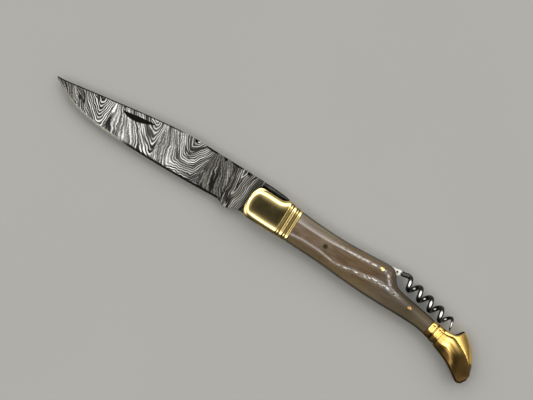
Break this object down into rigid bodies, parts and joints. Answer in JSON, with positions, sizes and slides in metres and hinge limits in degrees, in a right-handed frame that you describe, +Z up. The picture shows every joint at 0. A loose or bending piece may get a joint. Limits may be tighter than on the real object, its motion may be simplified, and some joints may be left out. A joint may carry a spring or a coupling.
{
  "type": "folding pocket knife with corkscrew",
  "caption": "Slim curved folding knife lying open on its side: pointed patterned steel blade, ribbed brass bolsters, horn covers and a corkscrew that swings out of the back",
  "frame": {"origin": "On the blade's pivot axis, on the plane that the knife rests on: the flat of the right front bolster.", "axes": "+X from the blade towards the tail of the handle, +Y towards the blade's spine and the handle's back, +Z up, out of the knife's left side."},
  "size_m": [0.2196, 0.0297, 0.0124],
  "materials": {
    "pattern_steel": "etched pattern-welded steel, fine light and dark lines",
    "spring_steel": "dark polished spring steel",
    "liner_steel": "plain ground steel",
    "worm_steel": "smooth dark steel wire",
    "tang_steel": "pale ground steel",
    "brass": "polished",
    "horn": null
  },
  "bodies": {
    "handle": {"blade_pivot_pin": "brass", "corkscrew_pin": "brass", "front_bolster_left": "brass", "front_bolster_right": "brass", "front_bolster_rivet_left": "brass", "front_bolster_rivet_right": "brass", "liner_left": "liner_steel", "liner_right": "liner_steel", "rear_bolster_left": "brass", "rear_bolster_right": "brass", "rear_bolster_rivet_left": "brass", "rear_bolster_rivet_right": "brass", "scale_left": "horn", "scale_pin_front_left": "brass", "scale_pin_front_right": "brass", "scale_pin_rear_left": "brass", "scale_pin_rear_right": "brass", "scale_right": "horn", "spring_bar": "spring_steel", "spring_middle_pin": "spring_steel", "spring_rear_pin": "brass"},
    "blade": {"blade": "pattern_steel"},
    "spring_arm": {"spring_arm": "spring_steel", "thumb_pad": "spring_steel"},
    "corkscrew": {"corkscrew_tang": "tang_steel", "corkscrew_worm": "worm_steel", "corkscrew_rivet": "spring_steel"}
  },
  "joints": [
    {"name": "blade_fold", "type": "hinge", "parent": "handle", "child": "blade", "pos_m": [0, 0, 0.0062], "axis": [0, 0, 1], "range_deg": [0, 173.8]},
    {"name": "spring_flex", "type": "hinge", "parent": "handle", "child": "spring_arm", "pos_m": [0.046, 0.00665, 0.0062], "axis": [0, 0, -1], "range_deg": [0, 1.5], "stiffness_Nm_per_rad": 0.5},
    {"name": "corkscrew_swing", "type": "hinge", "parent": "handle", "child": "corkscrew", "pos_m": [0.0575, 0.0064, 0.0062], "axis": [0, 0, 1], "range_deg": [0, 90]}
  ]
}
